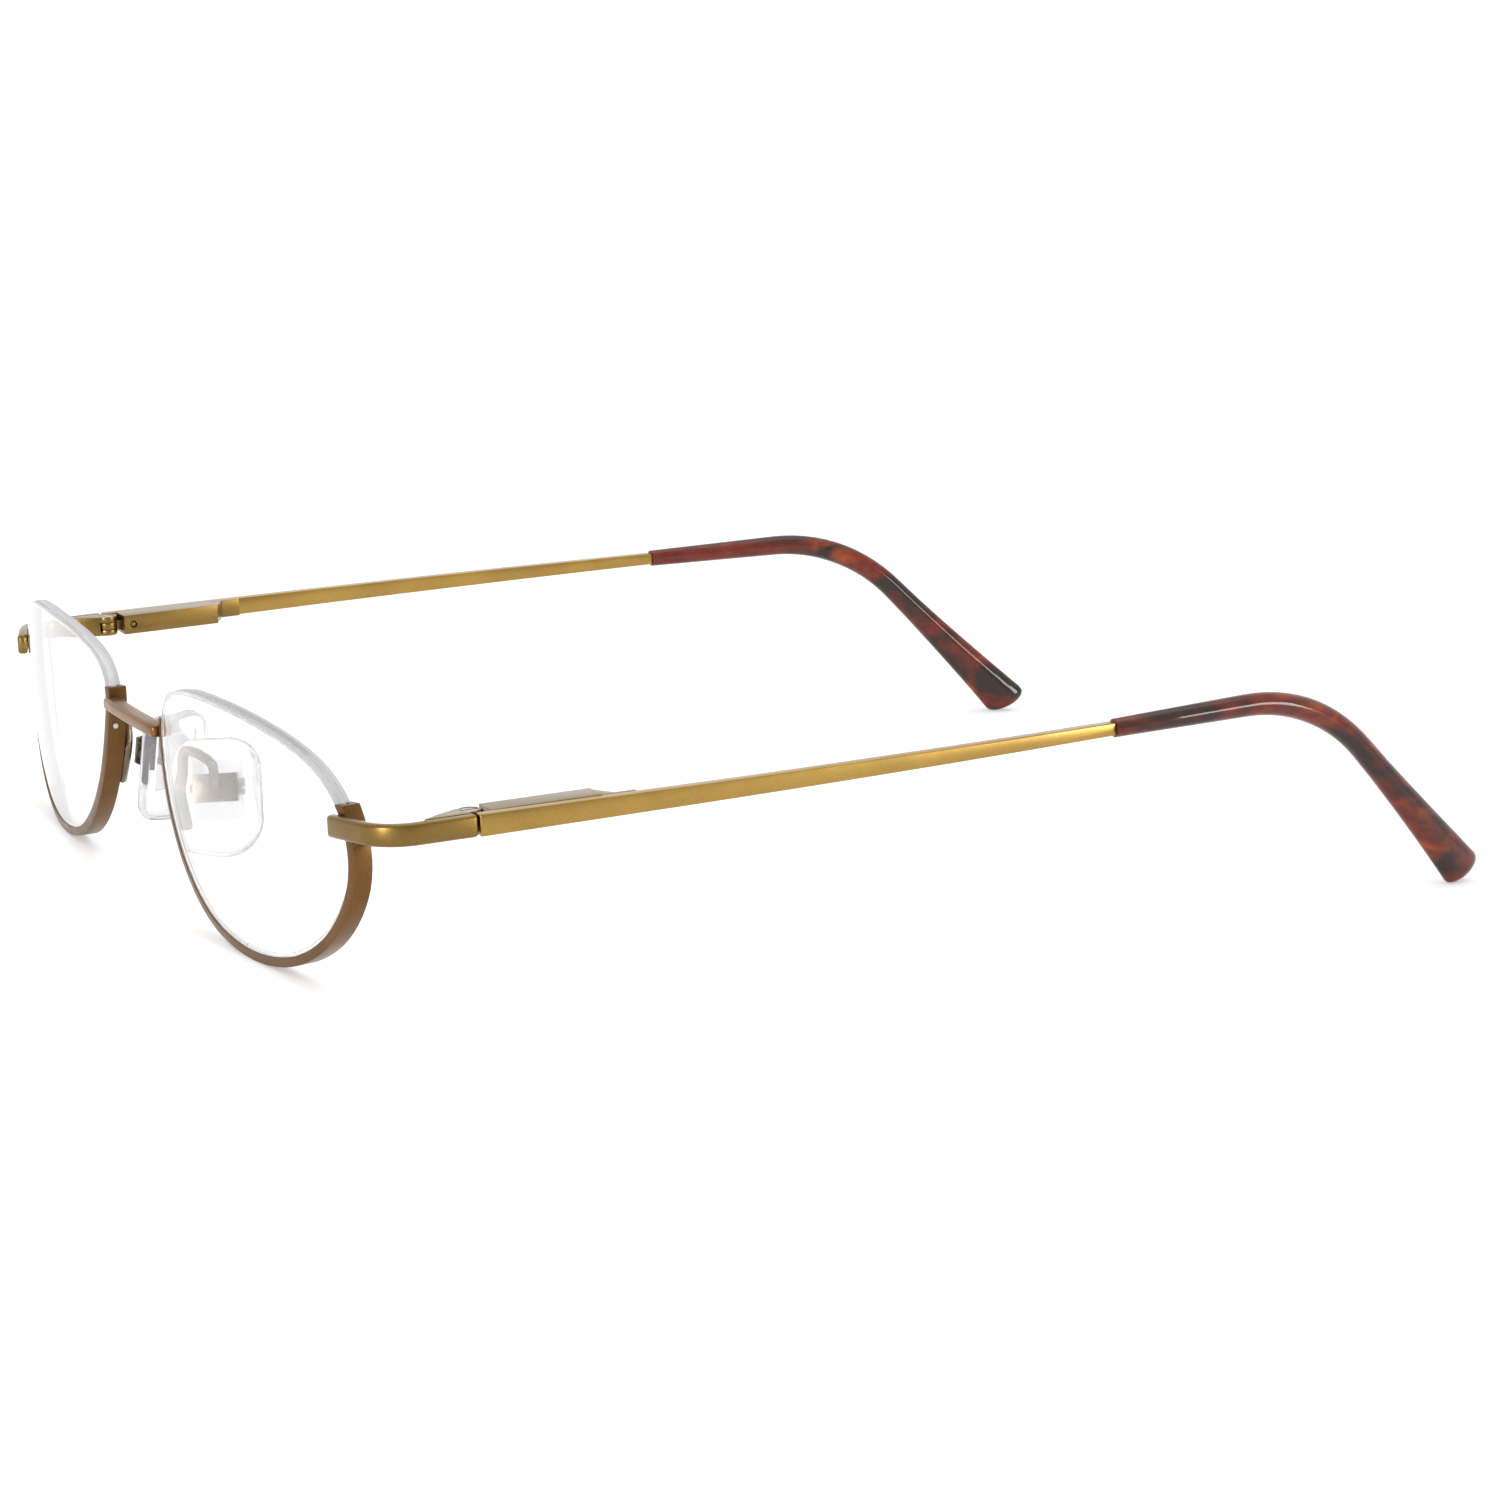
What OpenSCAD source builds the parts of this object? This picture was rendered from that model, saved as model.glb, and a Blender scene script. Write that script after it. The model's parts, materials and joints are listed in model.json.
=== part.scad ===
// Half-rim eyeglasses with spring hinges, screw-on nose pads and moulded temple tips.
// Millimetres. +X is the wearer's left, the front faces -Y, the temples run towards +Y, +Z is up.
// The glasses stand open on a table at z = 0, on the rim bottoms and the temple tips.

/* [Overall size] */
// Half the width over the temples, at the hinges
hinge_half_width = 66.5; // [60:0.5:74]
// Length of a temple along its centre line, from the hinge to the end of the tip
temple_length = 136; // [120:1:150]
// Lens width
lens_width = 48.5; // [42:0.5:54]
// Lens height
lens_height = 27; // [22:0.5:36]
// Gap between the two lenses across the nose
bridge_gap = 21; // [16:0.5:26]

/* [Lenses and rims] */
// Lens thickness
lens_thickness = 1.7; // [1.4:0.1:3]
// Radius of the lens front surface
lens_radius = 105; // [80:1:200]
// Angle each lens turns back at its outer end
lens_wrap = 5.4; // [0:0.1:10]
// Angle each lens leans, with its lower edge towards the face
lens_tilt = 1.6; // [0:0.1:10]
// Width of the groove in the lens edge and in the rim
groove_width = 0.7; // [0.5:0.05:0.9]
// Depth of the groove in the lens edge
groove_depth = 0.5; // [0.3:0.05:0.8]
// Thickness of the rim, away from the lens edge
rim_thickness = 1.05; // [0.9:0.05:1.6]
// How far the rim stands past each lens face
rim_overhang = 0.15; // [0.1:0.05:0.6]
// Diameter of the lens retaining line
line_diameter = 0.6; // [0.4:0.05:0.7]

/* [Front metalwork] */
// Height of the endpiece strap and of the hinge
strap_height = 2.4; // [2:0.1:3.2]
// Thickness of the endpiece strap and of the bridge
strap_thickness = 1.2; // [0.9:0.05:1.6]
// Radius of the strap's corner, at its outer face
corner_radius = 5.5; // [3:0.1:6.5]
// Height of the bridge bar
bridge_height = 1.5; // [1.2:0.05:3]
// Depth of the bridge bar, front to back
bridge_depth = 2.0; // [1.2:0.1:3]
// How far the middle of the bridge bows forward
bridge_bow = 0.3; // [0:0.1:3]
// Diameter of the nose pad arm wire
arm_diameter = 1.1; // [0.9:0.05:1.4]

/* [Nose pads] */
// Height of a nose pad
pad_height = 13.6; // [11:0.1:16]
// Width of a nose pad
pad_width = 9.6; // [7:0.1:12]
// Angle of the pads seen from above
pad_splay = 22; // [10:1:35]
// Angle of the pads seen from the front
pad_flare = 12; // [5:1:25]

/* [Temples] */
// Angle each temple closes inwards when it is open
temple_splay = 0; // [-4:0.1:8]
// Distance behind the hinge where a temple starts to curve inwards
bow_start = 20; // [20:1:60]
// Radius of that inward curve seen from above
bow_radius = 700; // [400:10:3000]
// Radius of the tip's further inward curve, from the bend over the ear
curl_radius = 370; // [200:10:3000]
// Thickness of the temple bar
bar_thickness = 1.3; // [1:0.05:1.8]
// Height of the temple bar where it enters the tip
bar_end_height = 1.45; // [1.2:0.05:2]
// Length of a temple tip along its centre line
tip_length = 60; // [48:1:75]
// Angle of the tip below the temple bar
tip_drop = 48; // [30:1:60]
// Radius of the bend over the ear
tip_bend_radius = 22; // [15:1:35]

/* [Hinges] */
// Distance from the hinge axis to the temple's outer face
hinge_offset = 3.0; // [2.9:0.05:3.4]
// Diameter of the hinge screw shaft
hinge_pin_diameter = 1.16; // [1:0.02:1.2]
// Length of the spring housing
housing_length = 12.5; // [11:0.1:15]

/* [Hidden] */
$fn = 48;

// ---- clearances ----
contact_gap = 0.03;
running_gap = 0.04;
joint_gap = 0.1;
cut_margin = 1;

// ---- lens position ----
lens_x = (bridge_gap + lens_width) / 2;
lens_y = -16.8;
lens_z = -4.5;

// ---- temple centre line ----
// Centre line in the plane of the temple: distance back from the hinge and height
tip_mouth = temple_length - tip_length;
bend_length = tip_bend_radius * tip_drop * PI / 180;
bend_start = temple_length - bend_length - 24;
function tip_path(s) =
    let (a = min(max(s - bend_start, 0), bend_length) / tip_bend_radius * 180 / PI)
    let (past = max(s - bend_start - bend_length, 0))
    [min(s, bend_start) + tip_bend_radius * sin(a) + past * cos(tip_drop),
        -tip_bend_radius * (1 - cos(a)) - past * sin(tip_drop)];
function tip_angle(s) = -min(max(s - bend_start, 0), bend_length) / tip_bend_radius * 180 / PI;
// How far the temple has curved inwards (negative X) at a distance back from the hinge
function inward(y) = -pow(max(0, y - bow_start), 2) / bow_radius / 2
    - pow(max(0, y - bend_start), 2) / curl_radius / 2;
function path_side(s, half) = tip_path(s) + half * [-sin(tip_angle(s)), cos(tip_angle(s))];

module seated() translate([0, -centre_y, rest_height]) rotate([rest_pitch, 0, 0]) children();
module mirrored() mirror([1, 0, 0]) children();

// ---- lens outline ----
// Shape of the left lens seen from the front: X towards the temple, Y up, for a lens 2 wide and 2 high
outline_knots = [
    [1, 0.04], [0.95, 0.41], [0.785, 0.70], [0.495, 0.88], [0.11, 0.97], [-0.27, 0.98],
    [-0.60, 0.935], [-0.865, 0.81], [-0.985, 0.58], [-0.975, 0.25], [-0.865, -0.22],
    [-0.655, -0.63], [-0.36, -0.90], [0.045, -1.0], [0.43, -0.915], [0.735, -0.67], [0.93, -0.32]
];
steps_per_knot = 5;
knot_count = len(outline_knots);
function through(a, b, c, d, t) =
    0.5 * (2 * b + (c - a) * t + (2 * a - 5 * b + 4 * c - d) * t * t
    + (3 * b - a - 3 * c + d) * t * t * t);
function outline_point(i) =
    let (k = floor(i / steps_per_knot), t = i / steps_per_knot - k, n = knot_count)
    let (p = through(outline_knots[(k + n - 1) % n], outline_knots[k % n],
        outline_knots[(k + 1) % n], outline_knots[(k + 2) % n], t))
    [p[0] * lens_width / 2, p[1] * lens_height / 2];
outline_count = knot_count * steps_per_knot;
outline = [for (i = [0:outline_count - 1]) outline_point(i)];
function outline_normal(i) =
    let (d = outline[(i + 1) % outline_count] - outline[(i + outline_count - 1) % outline_count])
    [d[1], -d[0]] / norm(d);
function grown_outline(by) = [for (i = [0:outline_count - 1]) outline[i] + by * outline_normal(i)];

// Nearest outline point to a height, on the temple side (1) or the nose side (-1)
function nearest_index(side, height) =
    let (miss = [for (p = outline) p[0] * side > 0 ? abs(p[1] - height) : 1000])
    search(min(miss), miss)[0];

module lens_frame()
    translate([lens_x, lens_y, lens_z]) rotate([lens_tilt, 0, 0]) rotate([0, 0, lens_wrap]) children();
module outline_prism(by)
    rotate([90, 0, 0]) linear_extrude(height = 24, center = true) polygon(grown_outline(by));
module lens_shell(front, back) difference() {
    translate([0, lens_radius, 0]) sphere(r = lens_radius - front);
    translate([0, lens_radius, 0]) sphere(r = lens_radius - back);
}
// A band round the lens edge, between two offsets from the outline and two depths behind the front surface
module edge_band(outer, inner, front, back) intersection() {
    difference() {
        outline_prism(outer);
        outline_prism(inner);
    }
    lens_shell(front, back);
}
module kept_below(temple_side, nose_side) {
    translate([0, -20, -40]) cube([60, 40, 40 + temple_side]);
    translate([-60, -20, -40]) cube([60.01, 40, 40 + nose_side]);
}

groove_front = (lens_thickness - groove_width) / 2;
groove_back = groove_front + groove_width;
rim_inner = 0.05;
rim_outer = rim_inner + rim_thickness;
channel_depth = 0.55;
// Heights in the lens frame where the rim ends and where the liner gives way to the line
rim_top_temple = 6.4;
rim_top_nose = 7.7;
liner_top_temple = 1.4;
liner_top_nose = 2.6;
line_hole_temple = nearest_index(1, 2.6);
line_hole_nose = nearest_index(-1, 3.8);
line_hole_radius = line_diameter / 2 + 0.05;

// Places a child, drawn along +X, on the groove's centre line and pointing away from the lens
module at_edge(i) {
    across = outline_normal(i);
    p = outline[i];
    depth = lens_radius - lens_thickness / 2;
    translate([p[0], lens_radius - sqrt(depth * depth - p[0] * p[0] - p[1] * p[1]), p[1]])
        rotate([0, -atan2(across[1], across[0]), 0]) children();
}

module lens_shape() lens_frame() difference() {
    intersection() {
        outline_prism(0);
        lens_shell(0, lens_thickness);
    }
    edge_band(cut_margin, -groove_depth, groove_front, groove_back);
}
module rim_shape() lens_frame() difference() {
    intersection() {
        edge_band(rim_outer, rim_inner, -rim_overhang, lens_thickness + rim_overhang);
        kept_below(rim_top_temple, rim_top_nose);
    }
    edge_band(rim_inner + channel_depth, rim_inner - 0.02, groove_front, groove_back);
    for (i = [line_hole_temple, line_hole_nose])
        at_edge(i) rotate([0, 90, 0]) cylinder(r = line_hole_radius, h = 3);
}
module liner_shape() lens_frame() intersection() {
    edge_band(rim_inner + channel_depth - contact_gap, -groove_depth + contact_gap,
        groove_front + contact_gap, groove_back - contact_gap);
    kept_below(liner_top_temple, liner_top_nose);
}
module line_shape() lens_frame() {
    difference() {
        edge_band(0.08, -groove_depth + contact_gap,
            groove_front + contact_gap, groove_back - contact_gap);
        kept_below(liner_top_temple + 0.1, liner_top_nose + 0.1);
    }
    for (i = [line_hole_temple, line_hole_nose])
        at_edge(i) translate([-0.1, 0, 0]) rotate([0, 90, 0])
            cylinder(d = line_diameter, h = rim_outer + 0.25);
}

// ---- bent strips ----
// A flat strip seen from above: outer face through the knots, thickness towards the given side
function strip_point(knots, i) =
    let (n = len(knots), k = min(floor(i / steps_per_knot), n - 2), t = i / steps_per_knot - k)
    through(knots[max(k - 1, 0)], knots[k], knots[k + 1], knots[min(k + 2, n - 1)], t);
function strip_line(knots) =
    [for (i = [0:(len(knots) - 1) * steps_per_knot]) strip_point(knots, i)];
function strip_inner(line, thickness) = [for (i = [0:len(line) - 1])
    let (d = line[min(i + 1, len(line) - 1)] - line[max(i - 1, 0)])
    line[i] + thickness * [-d[1], d[0]] / norm(d)];
function reversed(list) = [for (i = [len(list) - 1:-1:0]) list[i]];
module strip(knots, thickness, height) {
    line = strip_line(knots);
    linear_extrude(height = height, center = true)
        polygon(concat(line, reversed(strip_inner(line, thickness))));
}

// A point of the lens frame, at a depth behind the front surface, in the design frame
function lens_point(x, z, depth) =
    let (r = lens_radius - depth, y = lens_radius - sqrt(r * r - x * x - z * z))
    let (u = x * cos(lens_wrap) - y * sin(lens_wrap), v = x * sin(lens_wrap) + y * cos(lens_wrap))
    [lens_x + u, lens_y + v * cos(lens_tilt) - z * sin(lens_tilt),
        lens_z + v * sin(lens_tilt) + z * cos(lens_tilt)];
function hinge_point(x, y) = [
    hinge_half_width + (x - hinge_offset) * cos(temple_splay) - y * sin(temple_splay),
    (x - hinge_offset) * sin(temple_splay) + y * cos(temple_splay)];

// The strap lies on the rim's front face from the rim's outer edge to a little past the lens edge, then
// turns one corner and runs straight back to the hinge
strap_lap = 2.0;
strap_gap = 0.06;
rim_edge_x = outline[nearest_index(1, -lens_z)][0] + rim_outer;
strap_seat = lens_point(rim_edge_x, -lens_z, -rim_overhang);
strap_tip = lens_point(rim_edge_x - strap_lap, -lens_z, -rim_overhang);
function flat(p) = [p[0], p[1]];
// Point at a distance out from the meeting of two lines, each given by its normal and its own distance
function meeting(m, a, n, b) =
    [a * n[1] - b * m[1], m[0] * b - n[0] * a] / (m[0] * n[1] - m[1] * n[0]);
module endpiece_shape() {
    along = flat(strap_seat - strap_tip) / norm(flat(strap_seat - strap_tip));
    front = [along[1], -along[0]];
    side = [cos(temple_splay), sin(temple_splay)];
    end = flat(strap_tip) + front * (strap_gap + strap_thickness);
    centre = meeting(side, hinge_point(hinge_offset, 0) * side - corner_radius, front, end * front - corner_radius);
    front_angle = atan2(front[1], front[0]);
    arc = [for (k = [0:12]) let (a = temple_splay + (front_angle - temple_splay) * k / 12) [cos(a), sin(a)]];
    linear_extrude(height = strap_height, center = true) polygon(concat(
        [hinge_point(hinge_offset, -joint_gap)],
        [for (a = arc) centre + corner_radius * a],
        [end, end - front * strap_thickness],
        [for (a = reversed(arc)) centre + (corner_radius - strap_thickness) * a],
        [hinge_point(hinge_offset - strap_thickness, -joint_gap)]));
}

// The bridge butts against the outer sides of the two rims and stands a little in front of them
bridge_z = 1.55;
bridge_lead = 0.75;
bridge_seat = lens_point(outline[nearest_index(-1, bridge_z - lens_z)][0] - rim_outer,
    bridge_z - lens_z, -rim_overhang);
bridge_front = bridge_seat[1] - bridge_lead;
module rim_side() lens_frame() outline_prism(rim_outer + contact_gap);
module bridge_shape() difference() {
    end_x = bridge_seat[0] + 1.5;
    knots = [
        [-end_x, bridge_front], [-end_x * 0.5, bridge_front - bridge_bow * 0.75], [0, bridge_front - bridge_bow],
        [end_x * 0.5, bridge_front - bridge_bow * 0.75], [end_x, bridge_front]
    ];
    translate([0, 0, bridge_z]) strip(knots, bridge_depth, bridge_height);
    rim_side();
    mirrored() rim_side();
}

// ---- nose pads ----
// Pad frame: origin on the screw axis, -X towards the nose, Y along the screw, Z up
pad_x = bridge_gap / 2 + 0.9;
pad_y = lens_y + 6.75;
pad_z = lens_z - 0.8;
module pad_frame()
    translate([pad_x, pad_y, pad_z]) rotate([0, 0, -pad_splay]) rotate([0, -pad_flare, 0]) children();
function pad_point(p) =
    let (x = p[0] * cos(pad_flare) - p[2] * sin(pad_flare), z = p[0] * sin(pad_flare) + p[2] * cos(pad_flare))
    [pad_x + x * cos(pad_splay) + p[1] * sin(pad_splay), pad_y - x * sin(pad_splay) + p[1] * cos(pad_splay),
        pad_z + z];
box_length = 4.8;
box_height = 3.2;
box_wall = 0.9;
box_back = 1.5;
box_mouth = -1.0;
tab_half = box_length / 2 - box_wall - running_gap;
pad_screw_radius = 0.5;
module box_shape() pad_frame() difference() {
    translate([box_mouth, -box_length / 2, -box_height / 2])
        cube([box_back - box_mouth, box_length, box_height]);
    translate([box_mouth - cut_margin, -box_length / 2 + box_wall, -box_height])
        cube([0.9 - box_mouth + cut_margin, box_length - 2 * box_wall, 2 * box_height]);
    rotate([90, 0, 0]) cylinder(r = pad_screw_radius + 0.02, h = 2 * box_length, center = true);
}
module pad_screw_shape() pad_frame() rotate([-90, 0, 0]) difference() {
    union() {
        translate([0, 0, -box_length / 2 - 0.4]) cylinder(r = pad_screw_radius, h = box_length + 0.6);
        translate([0, 0, box_length / 2 + contact_gap]) cylinder(r = 0.95, h = 0.65);
    }
    translate([-0.13, -2, box_length / 2 + 0.4]) cube([0.26, 4, 1]);
}
// Core: a tab on the screw and a plate inside the soft pad
plate_front = -2.5;
plate_back = -2.1;
module core_shape(grow) pad_frame() difference() {
    union() {
        translate([plate_front - grow, -tab_half, -0.8]) cube([0.6 - plate_front + grow, 2 * tab_half, 1.6]);
        translate([plate_front - grow, -2.6 - grow, -3.6 - grow])
            cube([plate_back - plate_front + 2 * grow, 5.2 + 2 * grow, 6.6 + 2 * grow]);
    }
    rotate([90, 0, 0]) cylinder(r = pad_screw_radius + running_gap, h = 2 * box_length, center = true);
}
pad_centre_z = -1.2;
pad_front = -3.5;
pad_back = -1.45;
module pad_corner(y, z, r) translate([(pad_front + pad_back) / 2, y, z])
    scale([(pad_back - pad_front) / 2 / r, 1, 1]) sphere(r = r, $fn = 28);
module pad_hull() pad_frame() hull() {
    pad_corner(pad_width / 2 - 3.6, pad_centre_z + pad_height / 2 - 3.6, 3.6);
    pad_corner(-pad_width / 2 + 2.6, pad_centre_z + pad_height / 2 - 2.6, 2.6);
    pad_corner(pad_width / 2 - 4.4, pad_centre_z - pad_height / 2 + 4.4, 4.4);
    pad_corner(-pad_width / 2 + 3.0, pad_centre_z - pad_height / 2 + 3.4, 3.0);
}
module pad_shape() difference() {
    pad_hull();
    pad_frame() union() {
        translate([plate_front - contact_gap, -2.6 - contact_gap, -3.6 - contact_gap])
            cube([plate_back - plate_front + 2 * contact_gap, 5.2 + 2 * contact_gap, 6.6 + 2 * contact_gap]);
        translate([plate_back, -tab_half - contact_gap, -0.8 - contact_gap])
            cube([3, 2 * (tab_half + contact_gap), 1.6 + 2 * contact_gap]);
    }
}
// Arm: a wire from a foot on the rim, up and over, to the back of the box
arm_foot = lens_point(outline[nearest_index(-1, -0.8)][0] - rim_outer / 2, -0.8,
    lens_thickness + rim_overhang + arm_diameter / 2 + 0.01);
arm_foot_low = lens_point(outline[nearest_index(-1, -4.2)][0] - rim_outer / 2, -4.2,
    lens_thickness + rim_overhang + arm_diameter / 2 + 0.01);
arm_end_x = box_back + arm_diameter / 2 + 0.01;
arm_knots = [
    arm_foot_low, arm_foot, arm_foot + [0.1, 0.35, 2.2], arm_foot + [0.6, 0.4, 4.2],
    arm_foot + [1.4, 0.8, 4.9], pad_point([arm_end_x + 0.9, -0.2, 2.9]),
    pad_point([arm_end_x + 0.25, 0, 1.2]), pad_point([arm_end_x, 0, 0])
];
module arm_shape() {
    points = strip_line(arm_knots);
    for (i = [0:2:len(points) - 3]) hull() {
        translate(points[i]) sphere(d = arm_diameter, $fn = 12);
        translate(points[i + 2]) sphere(d = arm_diameter, $fn = 12);
    }
}

// ---- hinge ----
// Hinge frame: origin on the screw axis at mid height, X outwards, +Y along the temple, Z up
module hinge_frame()
    translate([hinge_half_width, 0, 0]) rotate([0, 0, temple_splay]) translate([-hinge_offset, 0, 0]) children();
barrel_radius = 1.25;
hinge_half_height = strap_height / 2;
middle_half = 0.42;
knuckle_start = middle_half + 0.05;
pin_radius = hinge_pin_diameter / 2;
pin_hole = pin_radius + running_gap;
head_radius = 0.92;
head_bottom = hinge_half_height - 0.45;
housing_half = hinge_offset - bar_thickness;
housing_start = 1.8;
housing_end = housing_start + housing_length;
slide_travel = 0.8;
leaf_x = hinge_offset - strap_thickness - joint_gap;
module leaf_shape() hinge_frame() difference() {
    union() {
        translate([0, 0, -hinge_half_height]) cylinder(r = barrel_radius, h = strap_height);
        linear_extrude(height = strap_height, center = true)
            polygon([[leaf_x, -5.6], [leaf_x, -0.3], [-0.9, -0.3], [-0.9, -1.2], [0.3, -3.6]]);
    }
    translate([0, 0, -knuckle_start]) cylinder(r = barrel_radius + 0.2, h = 2 * knuckle_start);
    translate([0, 0, -hinge_half_height - cut_margin]) cylinder(r = pin_hole, h = strap_height + 2 * cut_margin);
    translate([0, 0, head_bottom - running_gap]) cylinder(r = head_radius + running_gap, h = 2);
}
module hinge_screw_shape() hinge_frame() difference() {
    union() {
        translate([0, 0, -hinge_half_height + 0.05]) cylinder(r = pin_radius, h = strap_height - 0.3);
        translate([0, 0, head_bottom]) cylinder(r = head_radius, h = 0.4);
    }
    translate([-0.13, -2, hinge_half_height - 0.25]) cube([0.26, 4, 1]);
}
neck_half = 0.65;
neck_end = 4.3;
rod_radius = 0.36;
rod_end = housing_end - 1.9;
rod_head_length = 0.6;
module carriage_shape() hinge_frame() difference() {
    union() {
        translate([0, 0, -middle_half]) cylinder(r = barrel_radius, h = 2 * middle_half);
        translate([-neck_half, 0, -middle_half]) cube([2 * neck_half, neck_end, 2 * middle_half]);
        translate([0, neck_end - 0.2, 0]) rotate([-90, 0, 0])
            cylinder(r = rod_radius, h = rod_end - neck_end + 0.2);
        translate([0, rod_end - rod_head_length, 0]) rotate([-90, 0, 0])
            cylinder(r = 0.68, h = rod_head_length);
    }
    translate([0, 0, -2]) cylinder(r = pin_hole, h = 4);
}
stop_start = 2.0;
stop_end = 4.2;
stop_half_x = 1.15;
stop_half_z = 0.75;
stop_pin_y = 3.0;
stop_pin_radius = 0.45;
module stop_shape() hinge_frame() difference() {
    translate([-stop_half_x, stop_start, -stop_half_z])
        cube([2 * stop_half_x, stop_end - stop_start, 2 * stop_half_z]);
    translate([-neck_half - 0.05, stop_start - cut_margin, -middle_half - 0.05])
        cube([2 * neck_half + 0.1, 6, 2 * middle_half + 0.1]);
    translate([-2, stop_pin_y, 0]) rotate([0, 90, 0]) cylinder(r = stop_pin_radius + 0.02, h = 1.1);
}
module stop_pin_shape() hinge_frame() translate([-housing_half, stop_pin_y, 0]) rotate([0, 90, 0])
    cylinder(r = stop_pin_radius, h = housing_half - 0.92);
chamber_radius = 0.8;
module housing_shape() hinge_frame() difference() {
    union() {
        translate([-housing_half, housing_start, -hinge_half_height])
            cube([2 * housing_half - contact_gap, housing_length, strap_height]);
        translate([housing_half - 0.5, housing_end - 0.1, -hinge_half_height + 0.1])
            cube([0.5 - contact_gap, 4, strap_height - 0.2]);
        translate([0, housing_end, 0]) linear_extrude(height = strap_height - 0.2, center = true)
            polygon([[-housing_half, -0.05], [housing_half - 0.1, -0.05], [housing_half - 0.1, 1.8]]);
    }
    translate([-stop_half_x - contact_gap, housing_start - cut_margin, -stop_half_z - contact_gap])
        cube([2 * (stop_half_x + contact_gap), stop_end - housing_start + cut_margin + contact_gap,
            2 * (stop_half_z + contact_gap)]);
    translate([0, stop_end - 0.1, 0]) rotate([-90, 0, 0])
        cylinder(r = chamber_radius, h = housing_end - 0.9 - stop_end);
    translate([-housing_half - cut_margin, stop_pin_y, 0]) rotate([0, 90, 0])
        cylinder(r = stop_pin_radius + 0.02, h = cut_margin + 1);
}
spring_coils = 9;
steps_per_coil = 10;
spring_radius = 0.52;
spring_wire = 0.2;
module spring_ring(i) {
    turn = 360 * i / steps_per_coil;
    length = rod_end - rod_head_length - stop_end - spring_wire - 0.1;
    along = stop_end + spring_wire / 2 + 0.03 + length * i / (spring_coils * steps_per_coil);
    translate([spring_radius * cos(turn), along, spring_radius * sin(turn)]) rotate([0, -turn, 0])
        cylinder(d = spring_wire, h = 0.02, center = true, $fn = 8);
}
module spring_shape() hinge_frame() for (i = [0:spring_coils * steps_per_coil - 1]) hull() {
    spring_ring(i);
    spring_ring(i + 1);
}

// ---- temples ----
core_end = temple_length - 14;
core_half = 0.5;
core_clearance = 0.05;
function bar_half(s) = s < tip_mouth ? (strap_height + (bar_end_height - strap_height) * s / tip_mouth) / 2
    : core_half;
bar_stations = concat([joint_gap, tip_mouth - 0.2, tip_mouth + 0.2],
    [for (k = [0:16]) bend_start - 4 + (core_end - bend_start + 4) * k / 16]);
// A wall that follows the inward curve, between two distances out from the hinge axis
bow_stations = [for (y = [0:5:temple_length]) y];
module bowed_wall(inner, outer) linear_extrude(height = 3 * temple_length, center = true)
    polygon(concat([for (y = bow_stations) [outer + inward(y), y]],
        [for (y = reversed(bow_stations)) [inner + inward(y), y]]));
module side_profile(points) rotate([90, 0, 90]) linear_extrude(height = 60, center = true) polygon(points);
module temple_bar_shape() hinge_frame() intersection() {
    bowed_wall(housing_half, housing_half + bar_thickness);
    side_profile(concat([for (s = bar_stations) path_side(s, bar_half(s))],
        [for (s = reversed(bar_stations)) path_side(s, -bar_half(s))]));
}
module core_cut() intersection() {
    bowed_wall(housing_half - contact_gap, housing_half + bar_thickness + contact_gap);
    side_profile(concat(
        [for (s = concat([tip_mouth - 2], core_stations)) path_side(s, core_half + core_clearance)],
        [for (s = reversed(concat([tip_mouth - 2], core_stations))) path_side(s, -core_half - core_clearance)]));
}
core_stations = [for (k = [0:16]) bend_start - 4 + (core_end + 0.1 - bend_start + 4) * k / 16];

// Half height and half thickness of the tip along its length
function tip_half_height(s) =
    let (f = (s - tip_mouth) / tip_length, round_end = max(0, 1 - (temple_length - s) / 1.5))
    (1.05 + 0.35 * min(f / 0.45, 1) + 1.35 * pow(max(f - 0.6, 0) / 0.4, 1.5))
        * sqrt(max(0.02, 1 - round_end * round_end));
function tip_half_thickness(s) =
    let (f = (s - tip_mouth) / tip_length, round_end = max(0, 1 - (temple_length - s) / 1.4))
    (1.1 + 0.3 * min(f / 0.4, 1)) * sqrt(max(0.05, 1 - round_end * round_end));
tip_stations = concat([for (f = [0, 0.012, 0.15, 0.27]) tip_mouth + f * tip_length],
    [for (k = [0:13]) bend_start + bend_length * k / 13],
    [for (t = [20, 15, 10, 6, 3, 1.5, 1.0, 0.6, 0.3, 0.1, 0]) temple_length - t]);
ring_steps = 20;
// The tip's end is cut at a slant, so that its upper side reaches further back
function tip_slant(s) = 0.25 * max(0, (s - tip_mouth) / tip_length - 0.85) / 0.15;
function tip_ring(s) = let (c = tip_path(s), a = tip_angle(s), slant = tip_slant(s)) [for (k = [0:ring_steps - 1])
    let (turn = 360 * k / ring_steps, h = tip_half_height(s) * sin(turn))
    let (y = c[0] + h * (slant * cos(a) - sin(a)), z = c[1] + h * (slant * sin(a) + cos(a)))
    [tip_half_thickness(s) * cos(turn) + inward(y), y, z]];
tip_points = [for (s = tip_stations) each tip_ring(s)];
tip_last = (len(tip_stations) - 1) * ring_steps;
tip_faces = concat(
    [[for (k = [ring_steps - 1:-1:0]) k]],
    [for (i = [0:ring_steps:tip_last - 1], k = [0:ring_steps - 1], half = [0, 1])
        let (n = (k + 1) % ring_steps) half == 0 ? [i + k, i + n, i + ring_steps + n]
            : [i + k, i + ring_steps + n, i + ring_steps + k]],
    [[for (k = [0:ring_steps - 1]) tip_last + k]]);
module tip_shape() hinge_frame() difference() {
    translate([housing_half + bar_thickness / 2, 0, 0]) polyhedron(points = tip_points, faces = tip_faces);
    core_cut();
}

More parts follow.
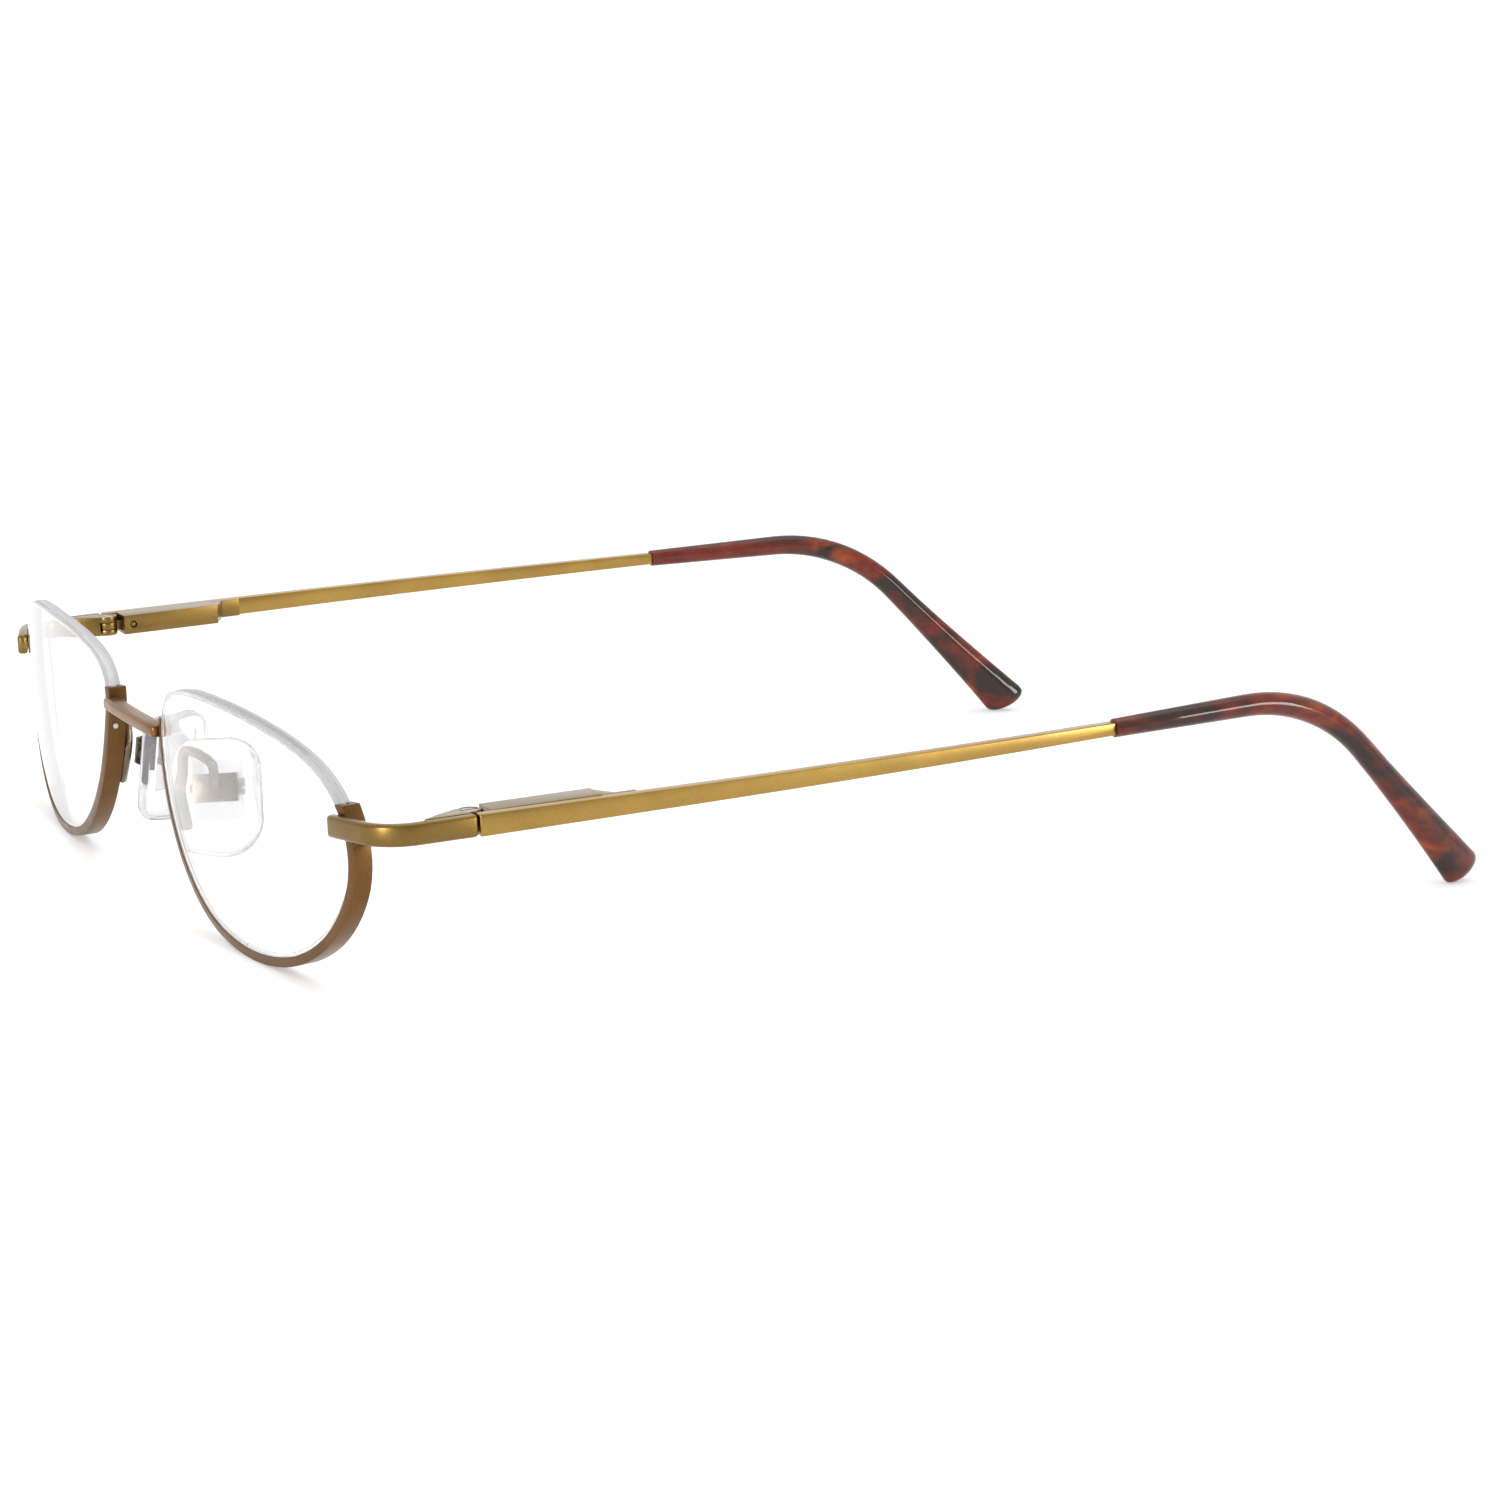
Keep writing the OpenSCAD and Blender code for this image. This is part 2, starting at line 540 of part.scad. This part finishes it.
// ---- resting pose ----
// The front edge under the lens and the lowest point of the tip both touch z = 0
rim_low = lens_point(0, -lens_height / 2 - rim_outer, -rim_overhang);
tip_heights = [for (p = tip_points) p[2]];
tip_low = min(tip_heights);
tip_low_y = tip_points[search(tip_low, tip_heights)[0]][1] * cos(temple_splay);
rest_pitch = atan((rim_low[2] - tip_low) / (tip_low_y - rim_low[1]));
rest_height = -rim_low[2] * cos(rest_pitch) - rim_low[1] * sin(rest_pitch);
// Front of the bridge and end of the tips, after the pitch
front_y = (bridge_front - bridge_bow) * cos(rest_pitch)
    - (bridge_z + bridge_height / 2) * sin(rest_pitch);
tip_back = max([for (p = tip_points) p[1]]);
back_y = tip_back * cos(temple_splay) * cos(rest_pitch) - tip_low * sin(rest_pitch);
centre_y = (front_y + back_y) / 2;

// ---- nodes ----
module left_lens() color([0.9, 0.93, 0.95, 0.35]) seated() lens_shape();
module right_lens() color([0.9, 0.93, 0.95, 0.35]) seated() mirrored() lens_shape();
module left_rim() color([0.52, 0.37, 0.2]) seated() rim_shape();
module right_rim() color([0.52, 0.37, 0.2]) seated() mirrored() rim_shape();
module left_rim_liner() color([0.85, 0.85, 0.82]) seated() liner_shape();
module right_rim_liner() color([0.85, 0.85, 0.82]) seated() mirrored() liner_shape();
module left_lens_line() color([0.9, 0.9, 0.88]) seated() line_shape();
module right_lens_line() color([0.9, 0.9, 0.88]) seated() mirrored() line_shape();
module bridge() color([0.6, 0.45, 0.28]) seated() bridge_shape();
module left_endpiece() color([0.6, 0.45, 0.22]) seated() endpiece_shape();
module right_endpiece() color([0.6, 0.45, 0.22]) seated() mirrored() endpiece_shape();
module left_pad_arm() color([0.6, 0.48, 0.35]) seated() arm_shape();
module right_pad_arm() color([0.6, 0.48, 0.35]) seated() mirrored() arm_shape();
module left_pad_box() color([0.6, 0.48, 0.35]) seated() box_shape();
module right_pad_box() color([0.6, 0.48, 0.35]) seated() mirrored() box_shape();
module left_pad_screw() color([0.7, 0.7, 0.7]) seated() pad_screw_shape();
module right_pad_screw() color([0.7, 0.7, 0.7]) seated() mirrored() pad_screw_shape();
module left_pad_core() color([0.7, 0.7, 0.7]) seated() core_shape(0);
module right_pad_core() color([0.7, 0.7, 0.7]) seated() mirrored() core_shape(0);
module left_nose_pad() color([0.93, 0.93, 0.92, 0.5]) seated() pad_shape();
module right_nose_pad() color([0.93, 0.93, 0.92, 0.5]) seated() mirrored() pad_shape();
module left_hinge_leaf() color([0.55, 0.42, 0.2]) seated() leaf_shape();
module right_hinge_leaf() color([0.55, 0.42, 0.2]) seated() mirrored() leaf_shape();
module left_hinge_screw() color([0.7, 0.7, 0.7]) seated() hinge_screw_shape();
module right_hinge_screw() color([0.7, 0.7, 0.7]) seated() mirrored() hinge_screw_shape();
module left_hinge_carriage() color([0.6, 0.5, 0.3]) seated() carriage_shape();
module right_hinge_carriage() color([0.6, 0.5, 0.3]) seated() mirrored() carriage_shape();
module left_hinge_spring() color([0.7, 0.7, 0.7]) seated() spring_shape();
module right_hinge_spring() color([0.7, 0.7, 0.7]) seated() mirrored() spring_shape();
module left_spring_stop() color([0.7, 0.7, 0.7]) seated() stop_shape();
module right_spring_stop() color([0.7, 0.7, 0.7]) seated() mirrored() stop_shape();
module left_stop_pin() color([0.55, 0.42, 0.2]) seated() stop_pin_shape();
module right_stop_pin() color([0.55, 0.42, 0.2]) seated() mirrored() stop_pin_shape();
module left_spring_housing() color([0.6, 0.45, 0.22]) seated() housing_shape();
module right_spring_housing() color([0.6, 0.45, 0.22]) seated() mirrored() housing_shape();
module left_temple_bar() color([0.7, 0.54, 0.27]) seated() temple_bar_shape();
module right_temple_bar() color([0.7, 0.54, 0.27]) seated() mirrored() temple_bar_shape();
module left_temple_tip() color([0.35, 0.14, 0.09]) seated() tip_shape();
module right_temple_tip() color([0.35, 0.14, 0.09]) seated() mirrored() tip_shape();

left_lens();
right_lens();
left_rim();
right_rim();
left_rim_liner();
right_rim_liner();
left_lens_line();
right_lens_line();
bridge();
left_endpiece();
right_endpiece();
left_pad_arm();
right_pad_arm();
left_pad_box();
right_pad_box();
left_pad_screw();
right_pad_screw();
left_pad_core();
right_pad_core();
left_nose_pad();
right_nose_pad();
left_hinge_leaf();
right_hinge_leaf();
left_hinge_screw();
right_hinge_screw();
left_hinge_carriage();
right_hinge_carriage();
left_hinge_spring();
right_hinge_spring();
left_spring_stop();
right_spring_stop();
left_stop_pin();
right_stop_pin();
left_spring_housing();
right_spring_housing();
left_temple_bar();
right_temple_bar();
left_temple_tip();
right_temple_tip();
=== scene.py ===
"""Looks of the half-rim eyeglasses: materials, softened edges, hinge springs, studio and camera."""

import json
import math

import bpy
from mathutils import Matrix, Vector


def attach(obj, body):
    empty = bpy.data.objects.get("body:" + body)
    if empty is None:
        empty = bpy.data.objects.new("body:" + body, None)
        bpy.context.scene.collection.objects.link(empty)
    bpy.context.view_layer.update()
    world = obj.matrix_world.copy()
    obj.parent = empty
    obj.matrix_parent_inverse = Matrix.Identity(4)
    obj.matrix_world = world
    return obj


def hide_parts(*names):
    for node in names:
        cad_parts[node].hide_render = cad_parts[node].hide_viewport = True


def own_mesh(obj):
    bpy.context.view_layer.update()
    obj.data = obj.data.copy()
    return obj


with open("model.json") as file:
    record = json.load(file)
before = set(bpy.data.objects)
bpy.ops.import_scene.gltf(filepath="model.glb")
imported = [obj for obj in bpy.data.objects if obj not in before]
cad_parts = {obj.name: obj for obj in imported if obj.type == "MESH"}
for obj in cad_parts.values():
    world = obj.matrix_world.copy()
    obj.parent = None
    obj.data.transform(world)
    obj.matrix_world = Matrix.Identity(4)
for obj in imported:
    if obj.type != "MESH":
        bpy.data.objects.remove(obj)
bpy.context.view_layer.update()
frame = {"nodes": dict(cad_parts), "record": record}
bpy.context.scene.view_settings.view_transform = "Standard"

MM = 0.001
SIDES = ("left", "right")
WHITE = (1, 1, 1)
BLACK = (0, 0, 0)


def add_object(name, data):
    obj = bpy.data.objects.new(name, data)
    bpy.context.collection.objects.link(obj)
    return obj


# ---- camera: three-quarter view from the wearer's left front, a little above ----
CAMERA_PLACE = Vector((502.86, -226.77, 123.68)) * MM
CAMERA_TURN = (79.1657, 0.0296, 66.3108)  # degrees about x, y and z


def make_camera():
    data = bpy.data.cameras.new("camera")
    data.sensor_width = 36
    data.lens = 111.8
    data.shift_x = 0.06
    data.shift_y = -0.04
    data.clip_start = 0.01
    data.clip_end = 50
    cam = add_object("camera", data)
    cam.location = CAMERA_PLACE
    cam.rotation_euler = [math.radians(angle) for angle in CAMERA_TURN]
    bpy.context.scene.camera = cam


make_camera()


# ---- shader helpers ----
def map_range(tree, source, low, high, out_low, out_high):
    """A Map Range node: source from low to high gives out_low to out_high."""
    node = tree.nodes.new("ShaderNodeMapRange")
    for socket, value in enumerate((low, high, out_low, out_high), start=1):
        node.inputs[socket].default_value = value
    tree.links.new(source, node.inputs[0])
    return node.outputs[0]


def plug(tree, value, socket):
    """Link an output to a socket, or set the socket to a number or a colour."""
    if hasattr(value, "links"):
        tree.links.new(value, socket)
    elif isinstance(value, (int, float)):
        socket.default_value = value
    else:
        socket.default_value = (*value, 1)


class Shader:
    """A material's node tree with a Principled surface, and short calls for its nodes."""

    def __init__(self, name):
        self.material = bpy.data.materials.new(name)
        self.material.use_nodes = True
        self.tree = self.material.node_tree
        self.tree.nodes.clear()
        self.out = self.node("OutputMaterial")
        self.surface = self.node("BsdfPrincipled")
        self.link(self.surface.outputs[0], self.out.inputs["Surface"])

    def node(self, kind):
        return self.tree.nodes.new("ShaderNode" + kind)

    def link(self, source, socket):
        self.tree.links.new(source, socket)

    def set(self, **values):
        """Set sockets of the surface."""
        for name, value in values.items():
            self.surface.inputs[name.replace("_", " ")].default_value = value

    def feed(self, **sources):
        """Link outputs to sockets of the surface."""
        for name, source in sources.items():
            self.link(source, self.surface.inputs[name.replace("_", " ")])

    def place(self, stretch=(1, 1, 1)):
        """The point on the object; a stretch below 1 draws a pattern out along that axis."""
        scale = self.node("Mapping")
        scale.inputs["Scale"].default_value = stretch
        self.link(self.node("TexCoord").outputs["Object"], scale.inputs["Vector"])
        return scale.outputs[0]

    def noise(self, where, size, detail=3, rough=0.55, warp=0.0):
        """Noise with features of this size in metres."""
        n = self.node("TexNoise")
        n.inputs["Scale"].default_value = 1 / size
        n.inputs["Detail"].default_value = detail
        n.inputs["Roughness"].default_value = rough
        n.inputs["Distortion"].default_value = warp
        self.link(where, n.inputs["Vector"])
        return n.outputs[0]

    def ramp(self, source, stops):
        r = self.node("ValToRGB")
        elements = r.color_ramp.elements
        while len(elements) < len(stops):
            elements.new(0.5)
        for element, (position, colour) in zip(elements, stops):
            element.position = position
            element.color = (*colour, 1)
        self.link(source, r.inputs[0])
        return r.outputs[0]

    def mix(self, factor, a, b, kind="MIX"):
        """A colour Mix node, whose colour sockets are 6 and 7, with its result in output 2."""
        m = self.node("Mix")
        m.data_type = "RGBA"
        m.blend_type = kind
        for value, socket in ((factor, 0), (a, 6), (b, 7)):
            plug(self.tree, value, m.inputs[socket])
        return m.outputs[2]

    def math(self, kind, a, b=0.0):
        m = self.node("Math")
        m.operation = kind
        m.use_clamp = True
        for value, socket in ((a, 0), (b, 1)):
            plug(self.tree, value, m.inputs[socket])
        return m.outputs[0]

    def span(self, source, low, high, out_low=0.0, out_high=1.0):
        return map_range(self.tree, source, low, high, out_low, out_high)

    def bump(self, height, strength, depth):
        b = self.node("Bump")
        b.inputs["Strength"].default_value = strength
        b.inputs["Distance"].default_value = depth
        self.link(height, b.inputs["Height"])
        self.feed(Normal=b.outputs[0])

    def pass_shadow(self, tint):
        """Let light through a clear piece, so that its shadow isn't black."""
        clear = self.node("BsdfTransparent")
        clear.inputs[0].default_value = (*tint, 1)
        both = self.node("MixShader")
        self.link(self.node("LightPath").outputs["Is Shadow Ray"], both.inputs[0])
        self.link(self.surface.outputs[0], both.inputs[1])
        self.link(clear.outputs[0], both.inputs[2])
        self.link(both.outputs[0], self.out.inputs["Surface"])


# ---- materials ----
def satin_metal(name, dark, bright, rough=(0.3, 0.42), grain=0.35, lacquer=1.0):
    """Satin antique plating: soft colour drift, fine blasted grain, faint smears in the gloss."""
    s = Shader(name)
    here = s.place()
    drift = s.noise(here, 7 * MM, detail=2)
    fine = s.noise(here, 0.22 * MM, detail=4, rough=0.7)
    smear = s.noise(s.place((1, 0.25, 1)), 3 * MM)
    colour = s.mix(s.span(drift, 0.35, 0.65), dark, bright)
    fleck = s.ramp(fine, [(0.25, (0.82, 0.8, 0.76)), (0.5, WHITE), (0.78, (1.12, 1.11, 1.08))])
    s.feed(Base_Color=s.mix(1.0, colour, fleck, "MULTIPLY"),
           Roughness=s.span(smear, 0.3, 0.7, *rough))
    s.bump(fine, strength=grain, depth=0.012 * MM)
    s.set(Metallic=1.0, Coat_Weight=lacquer, Coat_IOR=1.3, Coat_Roughness=0.25)
    return s.material


def tortoise():
    """Glossy acetate: red-brown with dark clouds and orange windows, drawn out lengthways."""
    s = Shader("tip_tortoise")
    along = s.place((1.0, 0.42, 0.75))
    clouds = s.noise(along, 5.2 * MM, rough=0.5, warp=0.5)
    windows = s.noise(s.place((0.9, 0.36, 0.8)), 3.6 * MM, detail=2, rough=0.45, warp=0.9)
    grain = s.noise(along, 0.9 * MM, detail=4, rough=0.6)
    body = s.ramp(grain, [(0.3, (0.092, 0.014, 0.010)), (0.7, (0.165, 0.028, 0.015))])
    window = s.ramp(windows, [(0.55, BLACK), (0.76, WHITE)])
    cloud = s.ramp(clouds, [(0.42, BLACK), (0.57, WHITE)])
    lit = s.mix(window, body, (0.36, 0.065, 0.014))
    gloss = s.span(s.noise(along, 2 * MM, detail=2), 0.3, 0.7, 0.1, 0.18)
    s.feed(Base_Color=s.mix(cloud, lit, (0.030, 0.018, 0.014)), Roughness=gloss)
    s.bump(s.noise(along, 6 * MM, detail=2), strength=0.12, depth=0.2 * MM)
    s.set(IOR=1.49, Specular_IOR_Level=0.12, Coat_Weight=0.35, Coat_Roughness=0.05)
    return s.material


def lens_glass(name, coat_ior, coat_weight):
    """Clear polished faces, with a finely ground edge all round that reads as pale grey bands."""
    s = Shader(name)
    split = s.node("SeparateXYZ")
    s.link(s.node("NewGeometry").outputs["True Normal"], split.inputs[0])
    edge = s.span(s.math("ABSOLUTE", split.outputs["Y"]), 0.86, 0.8)
    haze = s.noise(s.place(), 0.7 * MM)
    frost = s.math("MULTIPLY", edge, s.span(haze, 0.2, 0.8, 0.3, 0.5))
    s.feed(Base_Color=s.mix(edge, WHITE, (0.62, 0.615, 0.62)), Roughness=frost,
           Transmission_Weight=s.span(edge, 0, 1, 1.0, 0.3),
           Coat_Weight=s.span(edge, 0, 1, coat_weight, 0))
    s.set(IOR=1.5, Coat_IOR=coat_ior, Coat_Roughness=0.02)
    s.pass_shadow((0.93, 0.93, 0.93))
    return s.material


def soft_clear(name, colour, transmission, rough, edge_shade):
    """Clear plastic whose colour is darkened where it is seen edge-on: painted shade that draws its
    outline.
    """
    s = Shader(name)
    cloud = s.noise(s.place(), 1.2 * MM)
    body = s.mix(s.span(cloud, 0.3, 0.7), colour, tuple(c * 0.96 for c in colour))
    # painted shade: the base colour darkens as the surface turns edge-on to the view, drawing the
    # outline
    side = s.node("LayerWeight")
    side.inputs["Blend"].default_value = 0.35
    edge_on_shade_mask = s.span(side.outputs["Facing"], 0.15, 0.75)
    s.feed(Base_Color=s.mix(edge_on_shade_mask, body, tuple(c * edge_shade for c in colour)),
           Roughness=s.span(cloud, 0.2, 0.8, rough * 0.8, rough * 1.2))
    s.bump(cloud, strength=0.08, depth=0.05 * MM)
    s.set(Transmission_Weight=transmission, IOR=1.41)
    s.pass_shadow((0.9, 0.9, 0.9))
    return s.material


# dark colour, bright colour, then what differs from the usual roughness, grain and lacquer
METALS = {
    "rim_bronze": ((0.138, 0.067, 0.022), (0.17, 0.083, 0.027),
                   dict(rough=(0.32, 0.42), lacquer=0.2)),
    "strap_gold": ((0.185, 0.107, 0.020), (0.22, 0.130, 0.025), {}),
    "bridge_gold": ((0.215, 0.105, 0.038), (0.255, 0.126, 0.046),
                    dict(rough=(0.3, 0.38), lacquer=0.3)),
    "bar_gold": ((0.33, 0.20, 0.042), (0.385, 0.235, 0.049), dict(rough=(0.27, 0.36))),
    "arm_metal": ((0.13, 0.096, 0.064), (0.19, 0.145, 0.10), dict(rough=(0.22, 0.34), grain=0.2)),
    "screw_steel": ((0.26, 0.25, 0.24), (0.4, 0.39, 0.37), dict(rough=(0.16, 0.3), grain=0.2)),
}
# colour, share of light let through, roughness, brightness of the painted edge-on shade that draws
# the outline
CLEARS = {
    "line_polymer": ((0.6, 0.6, 0.6), 0.5, 0.16, 0.6),
    "liner_polymer": ((0.93, 0.92, 0.9), 0.6, 0.3, 0.8),
    "core_clear": ((1.0, 0.995, 1.0), 0.98, 0.05, 0.8),
    "pad_silicone": ((0.91, 0.905, 0.915), 0.93, 0.08, 0.4),
}


def make_materials():
    m = {}
    for name, (dark, bright, finish) in METALS.items():
        m[name] = satin_metal(name, dark, bright, **finish)
    m["tip_tortoise"] = tortoise()
    m["lens_clear"] = lens_glass("lens_clear", coat_ior=1.5, coat_weight=0.2)
    m["lens_clear_far"] = lens_glass("lens_clear_far", coat_ior=2.0, coat_weight=1.0)
    for name, look in CLEARS.items():
        m[name] = soft_clear(name, *look)
    return m


MATERIALS = make_materials()


# ---- CAD nodes: materials, softened edges and smooth shading ----
def shading_group(name, smooth_below, clean):
    """Smooth shading over edges flatter than smooth_below degrees, welded first where clean."""
    g = bpy.data.node_groups.new(name, "GeometryNodeTree")
    for way in ("INPUT", "OUTPUT"):
        g.interface.new_socket("Geometry", in_out=way, socket_type="NodeSocketGeometry")
    first = g.nodes.new("NodeGroupInput")
    last = g.nodes.new("NodeGroupOutput")
    flow = first.outputs[0]
    if clean:
        drop = g.nodes.new("GeometryNodeRemoveAttribute")
        drop.inputs["Name"].default_value = "custom_normal"
        g.links.new(flow, drop.inputs["Geometry"])
        weld = g.nodes.new("GeometryNodeMergeByDistance")
        weld.inputs["Distance"].default_value = 0.004 * MM
        g.links.new(drop.outputs[0], weld.inputs["Geometry"])
        flow = weld.outputs[0]
    faces = g.nodes.new("GeometryNodeSetShadeSmooth")
    faces.domain = "FACE"
    g.links.new(flow, faces.inputs["Geometry"])
    angle = g.nodes.new("GeometryNodeInputMeshEdgeAngle")
    below = g.nodes.new("FunctionNodeCompare")
    below.operation = "LESS_THAN"
    below.inputs[1].default_value = math.radians(smooth_below)
    g.links.new(angle.outputs[0], below.inputs[0])
    edges = g.nodes.new("GeometryNodeSetShadeSmooth")
    edges.domain = "EDGE"
    g.links.new(faces.outputs[0], edges.inputs["Geometry"])
    g.links.new(below.outputs[0], edges.inputs["Shade Smooth"])
    g.links.new(edges.outputs[0], last.inputs[0])
    return g


CLEAN = shading_group("clean_shading", smooth_below=32, clean=True)
SMOOTH = shading_group("smooth_shading", smooth_below=40, clean=False)
# width in mm of the rounding on each slot's edges; a slot that isn't here stays sharp
BEVELS = {"strap_gold": 0.4, "bar_gold": 0.42, "bridge_gold": 0.5, "rim_bronze": 0.12,
          "arm_metal": 0.12, "tip_tortoise": 0.35}
PAD_BOX_BEVEL = 0.35
FLAT_ANGLE = math.radians(0.7)
SHARP_ANGLE = math.radians(38)


def shape_edges(obj, width):
    obj.modifiers.new("clean", "NODES").node_group = CLEAN
    if not width:
        return
    flat = obj.modifiers.new("flat_faces", "DECIMATE")
    flat.decimate_type = "DISSOLVE"
    flat.angle_limit = FLAT_ANGLE
    b = obj.modifiers.new("soft_edge", "BEVEL")
    b.width = width * MM
    b.segments = 3
    b.limit_method = "ANGLE"
    b.angle_limit = SHARP_ANGLE
    b.use_clamp_overlap = True
    obj.modifiers.new("smooth", "NODES").node_group = SMOOTH


def dress_nodes():
    for part in frame["record"]["subparts"]:
        name, slot = part["node"], part["material_slot"]
        obj = frame["nodes"][name]
        look = MATERIALS["lens_clear_far" if name.startswith("right_lens") else slot]
        if not obj.material_slots:
            obj.data.materials.append(look)
        for place in obj.material_slots:
            place.material = look
        shape_edges(obj, PAD_BOX_BEVEL if name.endswith("pad_box") else BEVELS.get(slot, 0))


dress_nodes()


def make_springs():
    for side in SIDES:
        node = f"{side}_hinge_spring"
        coil = add_object(f"{side}_coil_spring", frame["nodes"][node].data.copy())
        coil.data.materials.clear()
        coil.data.materials.append(MATERIALS["screw_steel"])
        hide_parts(node)
        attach(coil, f"{side}_temple")
        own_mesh(coil)


make_springs()


# ---- floor, world and lights ----
FLOOR_REACH = 9
FLOOR_GLOW = 0.34
ROOM_AIM = (-0.45, 0.2, 0.6)  # the side of the room that lights most: right, behind and above
ROOM_DIM = 0.34
ROOM_BRIGHT = 1.05


def make_stage():
    mesh = bpy.data.meshes.new("floor")
    turns = ((-1, -1), (1, -1), (1, 1), (-1, 1))
    mesh.from_pydata([(x * FLOOR_REACH, y * FLOOR_REACH, 0) for x, y in turns], [], [(0, 1, 2, 3)])
    s = Shader("floor_white")
    s.feed(Base_Color=s.mix(s.noise(s.place(), 0.4, detail=2), (0.74,) * 3, (0.76,) * 3))
    s.set(Roughness=0.95, Specular_IOR_Level=0.1, Emission_Color=(*WHITE, 1),
          Emission_Strength=FLOOR_GLOW)
    mesh.materials.append(s.material)
    add_object("floor", mesh)


def make_world():
    """A white studio: seen directly it is plain white, and its light comes mostly from one side."""
    world = bpy.data.worlds.new("studio")
    bpy.context.scene.world = world
    world.use_nodes = True
    t = world.node_tree
    t.nodes.clear()
    toward = t.nodes.new("ShaderNodeVectorMath")
    toward.operation = "DOT_PRODUCT"
    toward.inputs[1].default_value = ROOM_AIM
    t.links.new(t.nodes.new("ShaderNodeTexCoord").outputs["Generated"], toward.inputs[0])
    room = t.nodes.new("ShaderNodeBackground")
    glow = map_range(t, toward.outputs["Value"], -0.5, 0.55, ROOM_DIM, ROOM_BRIGHT)
    t.links.new(glow, room.inputs["Strength"])
    seen = t.nodes.new("ShaderNodeBackground")
    seen.inputs["Strength"].default_value = ROOM_BRIGHT
    for sky in (room, seen):
        sky.inputs["Color"].default_value = (*WHITE, 1)
    both = t.nodes.new("ShaderNodeMixShader")
    t.links.new(t.nodes.new("ShaderNodeLightPath").outputs["Is Camera Ray"], both.inputs[0])
    t.links.new(room.outputs[0], both.inputs[1])
    t.links.new(seen.outputs[0], both.inputs[2])
    t.links.new(both.outputs[0], t.nodes.new("ShaderNodeOutputWorld").inputs[0])


def soft_light(name, where, aim, size, power):
    data = bpy.data.lights.new(name, "AREA")
    data.shape = "RECTANGLE"
    data.size, data.size_y = size
    data.energy = power
    lamp = add_object(name, data)
    lamp.location = where
    lamp.rotation_euler = (Vector(aim) - Vector(where)).to_track_quat("-Z", "Y").to_euler()


make_stage()
make_world()
soft_light("front_box", where=(0.38, -0.62, 0.06), aim=(0.05, -0.06, 0.02),
           size=(0.11, 0.34), power=3.4)
soft_light("back_box", where=(0.55, 0.52, 0.12), aim=(0.06, 0.03, 0.03),
           size=(0.22, 0.2), power=2.2)
soft_light("top_box", where=(-0.15, 0.2, 0.9), aim=(0, 0, 0), size=(0.7, 0.5), power=1.2)
